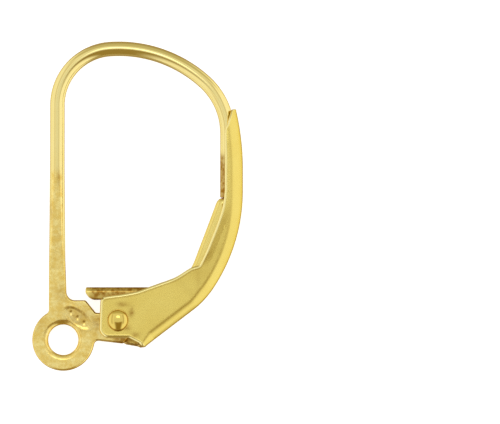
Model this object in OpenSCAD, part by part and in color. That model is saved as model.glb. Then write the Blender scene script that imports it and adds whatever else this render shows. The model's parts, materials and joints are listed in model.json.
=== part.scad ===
// A leverback earring with an open ring, lying on its side.
// It is drawn flat: x runs from the leg to the front wire, y from the ring to the crown,
// and z = 0 is the middle of the metal. The origin is on the leg's centre line, level with
// the ring's centre. rest_pose() then lays it on three points: the hinge's lower rivet head,
// the side of the channel and the back shoulder of the wire.

/* [Wire] */
// Diameter of the round wire
wire_d = 0.75; // [0.65:0.01:0.85]
// Distance between the centre lines of the leg and the front wire
hoop_w = 8.79; // [8.3:0.01:9.4]
// Height of the crown's centre line above the ring's centre
crown_h = 15.02; // [14.4:0.02:16.5]
// Distance of the crown's highest point from the leg's centre line
crown_x = 3.16; // [2.96:0.02:3.6]
// Radius of the crown, on the centre line
crown_r = 6.64; // [6.3:0.02:7.6]
// Radius of the back shoulder, on the centre line
back_r = 2.9; // [2.5:0.02:3.1]
// Radius of the front shoulder, on the centre line
front_r = 3.6; // [3.2:0.02:3.8]
// Height of the front wire's cut end above the ring's centre
front_end_h = 7.39; // [7:0.01:8]

/* [Plate] */
// Thickness of the struck plate
plate_t = 0.55; // [0.45:0.01:0.65]
// Width of the leg where it is struck flat
leg_w = 0.84; // [0.76:0.01:0.95]
// Height above the ring's centre where the flat on the leg begins
flat_top_h = 9.04; // [7:0.02:10]
// Height above the ring's centre where the leg is as flat as the plate
flat_end_h = 3.65; // [3:0.05:4.5]
// Outer diameter of the ring
ring_d = 3.2; // [3:0.02:3.5]
// Diameter of the ring's hole
ring_hole_d = 1.57; // [1.3:0.01:1.9]
// Distance of the ring's centre from the leg's centre line
ring_x = 0.32; // [0.2:0.01:0.45]
// Reach of the plate's shoulder from the leg's centre line
shoulder_w = 1.47; // [1.3:0.01:1.6]
// Height of the plate's shoulder above the ring's centre
shoulder_h = 2.04; // [1.9:0.01:2.2]
// Radius of the fillet between the leg and the shoulder
shoulder_fillet = 0.45; // [0.3:0.01:0.6]
// Distance of the neck's start from the leg's centre line, where the shoulder's chamfer ends
neck_x = 2; // [1.9:0.01:2.1]
// Widening of the leg on the shoulder's side
leg_flare = 0.07; // [0:0.01:0.12]
// Radius of the plate's corners
plate_corner_r = 0.12; // [0.05:0.01:0.2]
// Radius of the fillets where the leg and the neck meet the ring
ring_fillet = 0.22; // [0.1:0.02:0.3]

/* [Hinge] */
// Distance of the hinge from the leg's centre line
hinge_x = 3.18; // [3.1:0.01:3.4]
// Height of the hinge above the ring's centre
hinge_h = 1; // [0.9:0.01:1.1]
// Diameter of the rivet's pin
pin_d = 0.7; // [0.5:0.01:0.8]
// Diameter of the rivet's heads
head_d = 1.08; // [0.95:0.01:1.3]
// Height of the rivet's domed heads
head_h = 0.22; // [0.15:0.01:0.3]
// Running clearance round the pin in the lug's bore
pin_gap = 0.03; // [0.02:0.01:0.05]
// Radius of the lug's round end
lug_r = 1; // [0.9:0.01:1.02]
// Height of the neck's upper edge above the hinge
neck_rise = 0.39; // [0.3:0.01:0.5]
// Depth of the neck's lower edge below the hinge
neck_drop = 1.03; // [0.9:0.01:1.1]
// Depth of the lug's heel below the hinge
heel_drop = 1.2; // [1.1:0.01:1.25]
// Reach of the lug's heel past the hinge
heel_reach = 0.24; // [0.1:0.01:0.35]

/* [Lever] */
// Thickness of the folded sheet
sheet_t = 0.3; // [0.22:0.01:0.35]
// Clearance between each cheek and the plate
side_gap = 0.04; // [0.03:0.01:0.08]
// Clearance between the front wire and the channel round it
channel_gap = 0.12; // [0.08:0.005:0.18]
// Depth of the channel, from its back to its rim
channel_depth = 0.91; // [0.85:0.01:1.05]
// Outer radius of the fold along the cheeks' lower edge
fold_r = 0.38; // [0.36:0.01:0.5]
// Room between the lug's heel and the fold
fold_gap = 0.375; // [0.25:0.005:0.5]
// Slope of the fold, in degrees from the x axis
fold_angle = 37.3; // [34:0.1:42]
// Radius of the elbow's tighter lower part
elbow_low_r = 4.7; // [4:0.1:5.5]
// Turn of the elbow's tighter lower part, in degrees
elbow_low_turn = 19.3; // [15:0.1:24]
// Radius of the elbow's wider upper part
elbow_high_r = 9.07; // [8.4:0.01:9.6]
// Distance below the front shoulder at which the lever starts to bend over the wire
tip_lead = 1.86; // [1.6:0.02:2.2]
// Length of the bent tip
tip_len = 3.15; // [2.8:0.05:3.4]
// Radius of the bent tip
tip_r = 13.5; // [11:0.1:18]
// Reach of the cheeks past the hinge, towards the ring
cheek_reach = 0.94; // [0.85:0.01:1.1]
// Depth of the near cheek's lower edge below the hinge
cheek_drop = 0.84; // [0.75:0.01:0.95]
// Reach of the near cheek's level lower edge past the hinge
cheek_notch = 0.45; // [0.3:0.01:0.6]
// Depth of the far cheek's lower corner below the hinge
far_drop = 1.28; // [1:0.01:1.35]
// Distance of the fold's end on the far side behind its end on the near side
far_lean = 0.42; // [0:0.02:0.45]
// Height of the cheeks' upper corner above the hinge
cheek_rise = 1.2; // [1.15:0.01:1.25]
// Height of the cheeks at their free end, measured square to the fold
cheek_h = 3.33; // [3.2:0.01:3.45]
// Radius of the cheeks' lower corner
cheek_low_r = 0.4; // [0.2:0.02:0.6]
// Radius of the cheeks' upper corner
cheek_high_r = 0.14; // [0.08:0.02:0.24]

/* [Spring] */
// Thickness of the leaf spring
leaf_t = 0.15; // [0.1:0.01:0.18]
// Height of the leaf's arch
leaf_h = 0.65; // [0.5:0.01:0.8]
// Clearance between the leaf and each cheek
leaf_gap = 0.03; // [0.02:0.01:0.06]
// Clearance between the leaf and the lug under it
cam_gap = 0.06; // [0.04:0.01:0.1]
// Reach of the leaf's tongue past the hinge, towards the leg
tongue_reach = 1.7; // [1.5:0.01:1.75]
// Distance past the hinge at which the leaf starts to bend
bend_x = 1.95; // [1.6:0.01:2.1]
// Radius of the leaf's bend
bend_r = 2.1; // [1.8:0.05:2.3]
// Radius of the leaf's hooked upper end
hook_r = 0.35; // [0.32:0.01:0.45]
// Room between the front wire's end and the leaf's hook
hook_gap = 0.08; // [0.06:0.01:0.2]
// Gap between the corners of the leaf's end and the inside of the channel
seat_gap = 0.06; // [0.05:0.01:0.1]

/* [Hidden] */

$fn = 48;
ARC_POINTS = 6;     // segments of each rounded corner of an outline
SECTION_POINTS = 5; // segments of each rounded corner of a folded section
WIRE_SIDES = 16;    // sides of the wire

wire_r = wire_d / 2;
ring_r = ring_d / 2;
plate_z = plate_t / 2;
cheek_in_z = plate_z + side_gap;
cheek_z = cheek_in_z + sheet_t;
channel_r = wire_r + channel_gap + sheet_t;
hinge = [hinge_x, hinge_h];

// The arch is three arcs that meet smoothly between two upright lines.
crown_c = [crown_x, crown_h - crown_r];
back_c = [back_r, crown_c.y + sqrt((crown_r - back_r) ^ 2 - (crown_x - back_r) ^ 2)];
front_c = [hoop_w - front_r,
    crown_c.y + sqrt((crown_r - front_r) ^ 2 - (hoop_w - front_r - crown_x) ^ 2)];
back_angle = atan2(back_c.y - crown_c.y, back_c.x - crown_c.x);
front_angle = atan2(front_c.y - crown_c.y, front_c.x - crown_c.x);

// The wire's path, from the front wire's cut end over the arch and down into the plate, which it
// enters by PLATE_LAP.
// [length, turn in degrees]
PLATE_LAP = 0.4;
wire_path = [
    [front_c.y - front_end_h, 0],
    [front_r * front_angle * PI / 180, front_angle],
    [crown_r * (back_angle - front_angle) * PI / 180, back_angle - front_angle],
    [back_r * (180 - back_angle) * PI / 180, 180 - back_angle],
    [back_c.y - flat_top_h, 0],
    [flat_top_h - flat_end_h, 0],
    [PLATE_LAP, 0]];
WIRE_STEPS = [1, 8, 7, 13, 1, 8, 1];

// The lever's back: a straight fold, an elbow of two arcs, a straight and the bent tip.
fold_d = norm([heel_reach, heel_drop]) + fold_gap + sheet_t;
fold_foot = hinge + fold_d * [sin(fold_angle), -cos(fold_angle)];
back_x = hoop_w + channel_r;
elbow_turn = 90 - fold_angle;
elbow_high_turn = elbow_turn - elbow_low_turn;
elbow_mid = fold_angle + elbow_low_turn;
elbow_w = elbow_low_r * (sin(elbow_mid) - sin(fold_angle)) + elbow_high_r * (1 - sin(elbow_mid));
elbow_h = elbow_low_r * (cos(fold_angle) - cos(elbow_mid)) + elbow_high_r * cos(elbow_mid);
fold_len = (back_x - elbow_w - fold_foot.x) / cos(fold_angle);
straight_h = fold_foot.y + fold_len * sin(fold_angle) + elbow_h;
tip_h = front_c.y - tip_lead;
elbow_low_len = elbow_low_r * elbow_low_turn * PI / 180;
elbow_high_len = elbow_high_r * elbow_high_turn * PI / 180;
lever_run = fold_len + elbow_low_len + elbow_high_len;
lever_back = [
    [fold_len, 0],
    [elbow_low_len, elbow_low_turn],
    [elbow_high_len, elbow_high_turn],
    [tip_h - straight_h, 0],
    [tip_len, tip_len / tip_r * 180 / PI]];

// The fold's own end is a little past the foot. The sections that run to the cheeks' free end
// start from this stretch of the fold, and those behind them lag less and less.
FOLD_START = 0.15;
FAN_START = 0.72;
FAN_END = 1.1;
FAN_SETTLED = 0.4;

// Sections from the cheeks to the channel. along: share of the run from the foot to the straight.
// depth: 0 is the channel's depth and 1 the cheeks' height. width and round: 0 is the cheeks'
// width and fold, 1 the channel's width and half-round back.
// [along, depth, width, round]
ELBOW = [
    [0.01, 1.00, 0.00, 0.00],
    [0.04, 0.93, 0.00, 0.00],
    [0.08, 0.83, 0.00, 0.00],
    [0.12, 0.74, 0.00, 0.00],
    [0.16, 0.66, 0.00, 0.00],
    [0.21, 0.58, 0.00, 0.00],
    [0.27, 0.51, 0.00, 0.00],
    [0.33, 0.42, 0.00, 0.03],
    [0.39, 0.38, 0.02, 0.08],
    [0.44, 0.34, 0.06, 0.15],
    [0.49, 0.28, 0.13, 0.25],
    [0.51, 0.23, 0.17, 0.30],
    [0.53, 0.16, 0.21, 0.34],
    [0.55, 0.12, 0.26, 0.39],
    [0.60, 0.13, 0.38, 0.50],
    [0.67, 0.13, 0.57, 0.67],
    [0.73, 0.12, 0.71, 0.79],
    [0.78, 0.10, 0.81, 0.87],
    [0.84, 0.07, 0.90, 0.93],
    [0.91, 0.03, 0.97, 0.98],
    [1.00, 0.00, 1.00, 1.00]];

// Sections of the tip. along: share of its length. depth, width and thickness: shares of the
// channel's depth and width and of the sheet.
// [along, depth, width, thickness]
TIP = [
    [0.00, 1.00, 1.00, 1.00],
    [0.25, 0.97, 1.00, 0.95],
    [0.45, 0.92, 1.00, 0.80],
    [0.62, 0.85, 0.98, 0.65],
    [0.70, 0.79, 0.96, 0.60],
    [0.78, 0.64, 0.93, 0.57],
    [0.86, 0.50, 0.88, 0.54],
    [0.93, 0.35, 0.80, 0.50],
    [0.97, 0.26, 0.71, 0.47],
    [1.00, 0.17, 0.58, 0.45]];

// The leaf spring's crown: the tongue over the lug, the bend, the straight in the channel
// and the hook that seats against the channel's back.
leaf_z = cheek_in_z - leaf_gap;
leaf_y = hinge.y + lug_r + cam_gap + leaf_h;
hook_y = front_end_h - hook_gap;
hook_c = [hoop_w - wire_r / 2, hook_y - hook_r];
bend_c = [hinge.x + bend_x, leaf_y + bend_r];
leaf_end_x = hoop_w + sqrt((channel_r - sheet_t) ^ 2 - leaf_z ^ 2) - seat_gap;
hook_span = hook_c - bend_c;
leaf_rise = atan2(hook_span.y, hook_span.x);
leaf_turn = leaf_rise + asin((bend_r + hook_r) / norm(hook_span));
leaf_path = [
    [tongue_reach + bend_x, 0],
    [bend_r * leaf_turn * PI / 180, leaf_turn],
    [norm(hook_span) * cos(leaf_turn - leaf_rise), 0],
    [hook_r * leaf_turn * PI / 180, -leaf_turn],
    [leaf_end_x - hook_c.x, 0]];

// Sections of the leaf. leg: row of leaf_path. along: share of that row's length.
// depth: share of the arch's height.
// [leg, along, depth]
LEAF = [
    [0, 0.00, 0.30],
    [0, 0.03, 0.62],
    [0, 0.07, 0.88],
    [0, 0.12, 1.00],
    [0, 1.00, 1.00],
    [1, 0.17, 1.00],
    [1, 0.33, 1.00],
    [1, 0.50, 1.00],
    [1, 0.67, 1.00],
    [1, 0.83, 1.00],
    [2, 0.00, 1.00],
    [2, 0.50, 0.95],
    [2, 0.80, 0.70],
    [3, 0.00, 0.42],
    [3, 0.33, 0.40],
    [3, 0.67, 0.40],
    [3, 1.00, 0.40],
    [4, 1.00, 0.40]];

// Where the earring rests, and the direction that is then up. The shoulder's foot lies on the
// back arc, 33 degrees above its springing.
SHOULDER_FOOT = 147;
CHANNEL_FOOT = 0.45;
channel_foot_at = lever_point(lever_run + tip_h - straight_h + CHANNEL_FOOT * tip_len);
foot_rivet = [hinge.x, hinge.y, -cheek_z - head_h];
foot_channel = [each inwards(channel_foot_at, channel_r), -channel_r];
foot_shoulder = [back_c.x + back_r * cos(SHOULDER_FOOT), back_c.y + back_r * sin(SHOULDER_FOOT),
    -wire_r];
rest_normal = cross(foot_shoulder - foot_rivet, foot_channel - foot_rivet);
up = rest_normal / norm(rest_normal) * sign(rest_normal.z);
middle = [(ring_x - ring_r + back_x) / 2, (crown_h + wire_r - ring_r) / 2, 0];

// The point and heading [x, y, angle] after d of a straight (turn 0) or an arc.
function advance(p, turn, d) =
    turn == 0
    ? [p.x + d * cos(p.z), p.y + d * sin(p.z), p.z]
    : let (r = d / (turn * PI / 180))
        [p.x + r * (sin(p.z + turn) - sin(p.z)), p.y - r * (cos(p.z + turn) - cos(p.z)), p.z + turn];

// The point and heading at distance s along a path of [length, turn] rows from p.
function walk(p, path, s, i = 0) =
    i == len(path) - 1 || s <= path[i][0]
    ? advance(p, path[i][1] * s / path[i][0], s)
    : walk(advance(p, path[i][1], path[i][0]), path, s - path[i][0], i + 1);

// The length of the first n rows of a path.
function length_of(path, n) = n == 0 ? 0 : path[n - 1][0] + length_of(path, n - 1);

// The point at distance d to the left or right (d < 0) of a point with a heading.
function inwards(p, d) = [p.x - d * sin(p.z), p.y + d * cos(p.z)];

function lever_point(s) = walk([fold_foot.x, fold_foot.y, fold_angle], lever_back, s);

function leaf_point(s) = walk([hinge.x - tongue_reach, leaf_y, 0], leaf_path, s);

function mix(a, b, share) = a + (b - a) * share;

// An outline whose rows are [x, y, corner radius].
function rounded(rows) = [
    for (i = [0:len(rows) - 1])
        let (
            p = [rows[i].x, rows[i].y],
            before = rows[(i + len(rows) - 1) % len(rows)],
            after = rows[(i + 1) % len(rows)],
            u = unit([before.x, before.y] - p),
            v = unit([after.x, after.y] - p),
            half = acos(u * v) / 2,
            middle_way = unit(u + v),
            c = p + middle_way * rows[i].z / sin(half),
            side = sign(cross(u, v)),
            start = atan2(-middle_way.y, -middle_way.x) + side * (90 - half))
        each rows[i].z == 0
            ? [p]
            : [for (k = [0:ARC_POINTS])
                let (a = start - side * (180 - 2 * half) * k / ARC_POINTS)
                c + rows[i].z * [cos(a), sin(a)]]];

function unit(v) = v / norm(v);

// One side of a folded section: the half-width z and the depth of each point, from the back.
// The back's corner has radius r, and is cut where it reaches the given depth.
function fold_side(half_w, r, depth) =
    let (end = depth < r ? acos(1 - depth / r) : 90)
    [for (k = [0:SECTION_POINTS])
        let (a = end * (k + 0.5) / (SECTION_POINTS + 0.5))
        [r * (1 - cos(a)), half_w - r * (1 - sin(a))]];

// The ring of points round a folded section. p: a point of the back with its heading.
// inward: 1 if the section opens to the left of the heading, -1 to the right.
// rims: the near and the far point of the rim, where they don't lie square to the back.
// lean: how far the far corner of a straight fold lies behind the near one.
function fold_section(p, inward, half_w, r, depth, t, rims, lean = 0) =
    let (
        outer = fold_side(half_w, r, depth),
        inner = fold_side(half_w - t, r - t, max(depth - t, 0.02)),
        last = SECTION_POINTS,
        edge = inwards(p, inward * max(depth, outer[last].x + 0.01, inner[last].x + t + 0.01)),
        near = is_undef(rims) ? edge : rims[0],
        far = is_undef(rims) ? edge : rims[1],
        outside = [for (q = outer) [each inwards(p, inward * q.x), q.y]],
        inside = [for (q = inner) [each inwards(p, inward * (q.x + t)), q.y]],
        outside_far = [for (q = outer)
            [each inwards(advance(p, 0, -lean * q.x / r), inward * q.x), -q.y]],
        inside_far = [for (q = inner)
            [each inwards(advance(p, 0, -lean * (q.x + t) / r), inward * (q.x + t)), -q.y]],
        ring = [
            [near.x, near.y, outside[last].z],
            each [for (k = [last:-1:0]) outside[k]],
            each outside_far,
            [far.x, far.y, -outside[last].z],
            [far.x, far.y, -inside[last].z],
            each [for (k = [last:-1:0]) inside_far[k]],
            each inside,
            [near.x, near.y, inside[last].z]])
    inward > 0 ? ring : [for (k = [len(ring) - 1:-1:0]) ring[k]];

// The ring of points round the wire: a circle whose crests are cut off flat at thickness t.
function wire_section(p, w, t) =
    [for (k = [0:WIRE_SIDES - 1])
        let (a = 360 * (k + 0.5) / WIRE_SIDES)
        [each inwards(p, w / 2 * cos(a)), max(-t / 2, min(t / 2, wire_r * sin(a)))]];

// A solid through a row of section rings, closed at both ends by bands between their halves.
// The walls' diagonals mirror each other, as the rings' points do.
module loft(rings) {
    n = len(rings[0]);
    last = len(rings) - 1;
    walls = [for (i = [0:last - 1], j = [0:n - 1])
        let (
            a = i * n + j,
            b = i * n + (j + 1) % n)
        each j % (n / 2) < n / 4
            ? [[a, b + n, b], [a, a + n, b + n]]
            : [[a, a + n, b], [b, a + n, b + n]]];
    ends = [for (i = [0, last * n], j = [0:n / 2 - 2])
        let (
            a = i + j,
            b = i + n - 1 - j)
        each i == 0
            ? [[a, a + 1, b - 1], [a, b - 1, b]]
            : [[b - 1, a + 1, a], [b, b - 1, a]]];
    polyhedron([for (ring = rings) each ring], [each walls, each ends], convexity = 6);
}

module rest_pose() {
    translate([0, 0, -up * (foot_rivet - middle)])
        rotate(a = acos(up.z), v = cross(up, [0, 0, 1]))
            translate(-middle) children();
}

function wire_rings() = [
    for (i = [0:len(wire_path) - 1], k = [1:WIRE_STEPS[i]])
        let (
            s = length_of(wire_path, i) + wire_path[i][0] * k / WIRE_STEPS[i],
            p = walk([hoop_w, front_end_h, 90], wire_path, s),
            struck = max(0, (flat_top_h - p.y) / (flat_top_h - flat_end_h)) * (i > 3 ? 1 : 0))
        wire_section(p, mix(wire_d, leg_w, min(struck, 1)), mix(wire_d, plate_t, struck))];

// The plate's outline with the ring, the shoulder, the neck and the lug. Two sides run into the
// ring along its tangents.
module plate_outline() {
    left_tangent = 125;
    right_tangent = -15;
    left_at = [ring_x + ring_r * cos(left_tangent), ring_r * sin(left_tangent)];
    right_at = [ring_x + ring_r * cos(right_tangent), ring_r * sin(right_tangent)];
    leg_run = (-leg_w / 2 - left_at.x) / sin(left_tangent);
    neck_run = (hinge.y - neck_drop - right_at.y) / cos(right_tangent);
    neck_top = hinge.y + neck_rise;
    plate_top = flat_end_h + PLATE_LAP / 8;
    polygon(rounded([
        [-leg_w / 2, plate_top, 0],
        [leg_w / 2, plate_top, 0],
        [leg_w / 2 + leg_flare, shoulder_h, shoulder_fillet],
        [shoulder_w, shoulder_h, plate_corner_r],
        [neck_x, neck_top, plate_corner_r],
        [hinge.x, neck_top, 0],
        [hinge.x + lug_r * 0.6, hinge.y - lug_r * 0.8, 0],
        [hinge.x + heel_reach, hinge.y - heel_drop, plate_corner_r],
        [right_at.x - neck_run * sin(right_tangent), hinge.y - neck_drop, ring_fillet],
        [right_at.x, right_at.y, 0],
        [ring_x, 0, 0],
        [left_at.x, left_at.y, 0],
        [-leg_w / 2, left_at.y - leg_run * cos(left_tangent), ring_fillet]]));
    translate([ring_x, 0]) circle(r = ring_r);
    translate(hinge) circle(r = lug_r);
}

module ear_wire() {
    color("goldenrod") rest_pose() {
        difference() {
            translate([0, 0, -plate_z]) linear_extrude(plate_t) plate_outline();
            translate([ring_x, 0, -plate_t]) cylinder(d = ring_hole_d, h = 2 * plate_t);
            translate([each hinge, -plate_t]) cylinder(r = pin_d / 2 + pin_gap, h = 2 * plate_t);
        }
        loft([wire_section([hoop_w, front_end_h, 90], wire_d, wire_d), each wire_rings()]);
    }
}

// The rim of one cheek's free end: the fold's end, the lower edge's notch and both corners.
function cheek_end(fold_end, notch) =
    let (
        corner_x = hinge.x - cheek_reach,
        low_y = hinge.y - cheek_drop,
        rows = rounded([
            [fold_end.x, fold_end.y, 0],
            [hinge.x + notch.x, hinge.y - notch.y, 0],
            [hinge.x + cheek_notch / 3, low_y, 0],
            [corner_x, low_y, cheek_low_r],
            [corner_x, hinge.y + cheek_rise, cheek_high_r],
            [hinge.x, hinge.y + cheek_rise, 0]]))
    [for (k = [0:len(rows) - 2]) rows[k]];

function lever_rings() =
    let (
        near = cheek_end(inwards(lever_point(FOLD_START), cheek_z), [cheek_notch, cheek_drop]),
        far = cheek_end(inwards(lever_point(FOLD_START - far_lean), fold_r + 0.04),
            [cheek_notch, far_drop]),
        straight_end = lever_run + tip_h - straight_h)
    [
        for (k = [0:len(near) - 1])
            let (
                s = k < 3 ? mix(FOLD_START, FAN_START, k / 2)
                    : mix(FAN_START, FAN_END, (k - 2) / (len(near) - 2)),
                lean = far_lean * max(0, 1 - k / 3))
            fold_section(lever_point(s), 1, cheek_z, fold_r, cheek_h, sheet_t,
                [near[k], far[k]], lean),
        for (row = ELBOW)
            let (
                s = lever_run * row[0],
                lag = FAN_END * max(0, 1 - row[0] / FAN_SETTLED),
                depth = mix(channel_depth, cheek_h, row[1]),
                rim = inwards(lever_point(s), depth))
            fold_section(lever_point(s + lag), 1, mix(cheek_z, channel_r, row[2]),
                mix(fold_r, channel_r, row[3]), depth, sheet_t, [rim, rim]),
        for (row = TIP)
            fold_section(lever_point(straight_end + tip_len * row[0]), 1, channel_r * row[2],
                channel_r * row[2], channel_depth * row[1], sheet_t * row[3])];

module lever() {
    color("gold") rest_pose() {
        difference() {
            loft(lever_rings());
            translate([each hinge, -2 * cheek_z]) cylinder(d = pin_d, h = 4 * cheek_z);
        }
    }
}

module spring() {
    color("darkkhaki") rest_pose() {
        loft([for (row = LEAF)
            let (s = length_of(leaf_path, row[0]) + row[1] * leaf_path[row[0]][0])
            fold_section(leaf_point(s), -1, leaf_z, leaf_z, leaf_h * row[2], leaf_t)]);
    }
}

// A domed rivet head that stands on z = 0.
module rivet_head() {
    dome_r = (head_h ^ 2 + (head_d / 2) ^ 2) / (2 * head_h);
    rotate_extrude() {
        intersection() {
            translate([0, head_h - dome_r]) circle(r = dome_r);
            square([head_d, head_h]);
        }
    }
}

module rivet() {
    color("khaki") rest_pose() translate(hinge) {
        translate([0, 0, -cheek_z]) cylinder(d = pin_d, h = 2 * cheek_z);
        translate([0, 0, cheek_z]) rivet_head();
        mirror([0, 0, 1]) translate([0, 0, cheek_z]) rivet_head();
    }
}

ear_wire();
lever();
spring();
rivet();
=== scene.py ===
# %% [markdown]
# # A leverback earring, lying on its side
#
# A leverback is a hoop that locks. A round wire goes through the ear, and its back leg is struck
# flat and ends in a plate with a ring for a drop. A lever of folded sheet turns on a rivet in the
# plate, closes over the front end of the wire, and is held shut by a thin leaf spring.
#
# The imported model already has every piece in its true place. This script keeps those places and
# makes each surface again with the finish of the real metal: worn edges, a soft punched mark, a
# clean arch and a dressed fold.

import json
import math

import bmesh
import bpy
import numpy as np
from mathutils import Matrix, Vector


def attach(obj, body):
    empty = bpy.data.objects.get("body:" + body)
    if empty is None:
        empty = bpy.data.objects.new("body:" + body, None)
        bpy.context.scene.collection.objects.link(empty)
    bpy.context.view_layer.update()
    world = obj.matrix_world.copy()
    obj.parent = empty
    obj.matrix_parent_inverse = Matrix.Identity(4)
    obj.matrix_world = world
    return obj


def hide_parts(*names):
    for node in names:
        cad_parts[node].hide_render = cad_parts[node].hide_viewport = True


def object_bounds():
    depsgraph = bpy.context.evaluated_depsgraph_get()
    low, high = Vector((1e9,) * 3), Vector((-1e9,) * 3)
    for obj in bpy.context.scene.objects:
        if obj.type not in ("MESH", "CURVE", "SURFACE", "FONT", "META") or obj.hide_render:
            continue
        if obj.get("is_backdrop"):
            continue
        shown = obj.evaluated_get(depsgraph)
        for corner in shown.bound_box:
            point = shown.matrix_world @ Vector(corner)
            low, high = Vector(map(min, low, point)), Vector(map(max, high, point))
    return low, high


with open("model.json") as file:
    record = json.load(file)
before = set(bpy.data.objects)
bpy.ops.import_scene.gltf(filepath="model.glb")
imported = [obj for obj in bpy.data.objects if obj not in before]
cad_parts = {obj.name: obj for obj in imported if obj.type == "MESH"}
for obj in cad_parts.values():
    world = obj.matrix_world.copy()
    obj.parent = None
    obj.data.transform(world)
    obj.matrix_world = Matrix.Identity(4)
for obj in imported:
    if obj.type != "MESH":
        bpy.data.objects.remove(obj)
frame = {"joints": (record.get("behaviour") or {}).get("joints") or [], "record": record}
cad_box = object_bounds()

# %% [markdown]
# ## The drawing plane
#
# Everything on the earring was cut, bent or folded in one plane, so it is easiest to draw flat:
# x from the leg to the front wire, y from the ring to the crown, z through the metal, all in
# millimetres. The earring rests a little tilted, because the rivet's head is thicker than the
# wire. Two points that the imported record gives, the ring's hole and the hinge, fix how the
# drawing lies in the scene, so `place` needs no numbers for the tilt.

# %% Lay the drawing on the model
MM = 0.001
# the ring's centre and the hinge, in the drawing
RING = np.array([0.32, 0.0, 0.0])
HINGE = np.array([3.18, 1.0, 0.0])

mounts = {m["name"]: m for m in frame["record"]["mounts"]}
ring_at = np.array(mounts["ring_hole"]["pos_m"]) / MM
hinge_at = np.array(frame["joints"][0]["pos_m"]) / MM

up = np.array(mounts["ring_hole"]["axis"])
up /= np.linalg.norm(up)
reach = hinge_at - ring_at
reach -= up * (reach @ up)
reach /= np.linalg.norm(reach)
lift = math.atan2(HINGE[1] - RING[1], HINGE[0] - RING[0])
across = math.cos(lift) * reach - math.sin(lift) * np.cross(up, reach)
DRAWING = np.array([across, np.cross(up, across), up])


def place(points):
    """Drawing millimetres to scene metres: turn about the ring's hole, then shift onto it."""
    return ((np.asarray(points, float) - RING) @ DRAWING + ring_at) * MM


print("tilt of the drawing: %.2f degrees" % math.degrees(math.acos(up[2])))
print("hinge is off by %.5f mm" % np.linalg.norm(place(HINGE) / MM - hinge_at))

# %% [markdown]
# ## Camera
#
# The earring is seen from straight above and from far away, so the long lens keeps every edge
# upright and nothing shrinks towards the back. The frame is 500 by 424 pixels at 19.4 pixels to
# the millimetre, and the earring fills its left half.

# %% Set the camera
FRAME_PX = (500, 424)
PX_PER_MM = 19.4
DRAWING_ZERO_PX = (56.9, 339.8)
CAMERA_HEIGHT = 0.30
SENSOR_W = 36

centre = place([
    (FRAME_PX[0] / 2 - DRAWING_ZERO_PX[0]) / PX_PER_MM,
    (DRAWING_ZERO_PX[1] - FRAME_PX[1] / 2) / PX_PER_MM,
    0])
camera_data = bpy.data.cameras.new("Camera")
camera_data.sensor_width = SENSOR_W
camera_data.lens = SENSOR_W * (CAMERA_HEIGHT - centre[2]) / (FRAME_PX[0] / PX_PER_MM * MM)
camera_data.clip_start = 0.01
camera = bpy.data.objects.new("Camera", camera_data)
camera.location = (centre[0], centre[1], CAMERA_HEIGHT)
bpy.context.scene.collection.objects.link(camera)
bpy.context.scene.camera = camera
print("camera above", [round(v / MM, 2) for v in centre], "mm, lens %.0f mm" % camera_data.lens)

# %% [markdown]
# ## Colours and nodes
#
# Colours are written as sRGB hex values, as a picture editor shows them, and one function turns
# them into the linear values that the renderer mixes. One more small function adds a node, sets
# its inputs and links it, so that a material reads like a list of its layers.

# %% Two small helpers for materials
def linear(hex_colour):
    """sRGB hex to linear light: each channel c becomes ((c + 0.055) / 1.055) ** 2.4."""
    srgb = [int(hex_colour[i:i + 2], 16) / 255 for i in (1, 3, 5)]
    return [((c + 0.055) / 1.055) ** 2.4 if c > 0.04045 else c / 12.92 for c in srgb] + [1.0]


def add(tree, kind, settings=None, **inputs):
    """Adds a node. settings are its own properties. An input is a value or another node's
    output, and is named as on the node with _ for a space, or by its number as _0, _1."""
    node = tree.nodes.new(kind)
    for key, value in (settings or {}).items():
        setattr(node, key, value)
    for key, value in inputs.items():
        name = int(key[1:]) if key[0] == "_" else key.replace("_", " ")
        socket = node.inputs[name]
        if isinstance(value, bpy.types.NodeSocket):
            tree.links.new(value, socket)
        else:
            socket.default_value = value
    return node


# %% [markdown]
# ## Light
#
# Polished metal has hardly any colour of its own: it shows what stands round it, tinted gold.
# Jewellery is therefore shot in a white tent, and the tent's bright and dark parts are what the
# eye reads as shape. The sides of this tent are bright cloth. A panel hangs overhead between two
# grey strips, with a small lamp in it that shows as the bright spot on the rivet. The cloth at
# the back is grey, and the photographer's side is dark, which draws the dark lines along the wire
# and the fold.
#
# Area lamps would do the same job. A light this far away needs no object, though, so all of it
# is painted on the world, as a function of the direction (x, y) seen from above. The world can
# then have any soft shape.

# %% A screen of light
def light(level, tint):
    """A colour of light: a level times a tint."""
    return [level * c for c in linear(tint)[:3]] + [1.0]


world = bpy.data.worlds.new("Light_tent")
bpy.context.scene.world = world
world.use_nodes = True
tent = world.node_tree
tent.nodes.clear()
towards = add(tent, "ShaderNodeSeparateXYZ",
              _0=add(tent, "ShaderNodeTexCoord").outputs["Generated"]).outputs


def screen(behind, level, tint, x, y, soft_x, soft_y):
    """Hangs a rectangle of its own light before what is behind it, between two values of x and
    two of y of the direction. Each side fades smoothly over twice its softness."""
    cover = 1.0
    for axis, (low, high), soft in (("X", x, soft_x), ("Y", y, soft_y)):
        for start, end in ((low - soft, low + soft), (high + soft, high - soft)):
            fade = add(tent, "ShaderNodeMapRange", {"interpolation_type": "SMOOTHSTEP"},
                       Value=towards[axis], From_Min=start, From_Max=end)
            cover = add(tent, "ShaderNodeMath", {"operation": "MULTIPLY"},
                        _0=fade.outputs["Result"], _1=cover).outputs[0]
    return add(tent, "ShaderNodeMix", {"data_type": "RGBA"}, _0=cover, _6=behind,
               _7=light(level, tint)).outputs["Result"]


# %% [markdown]
# The right side is a little brighter than the left. The upper half of the tent gets its screens
# one before the other, and the lower half, which only the undersides see, gets a dim middle.

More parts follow.
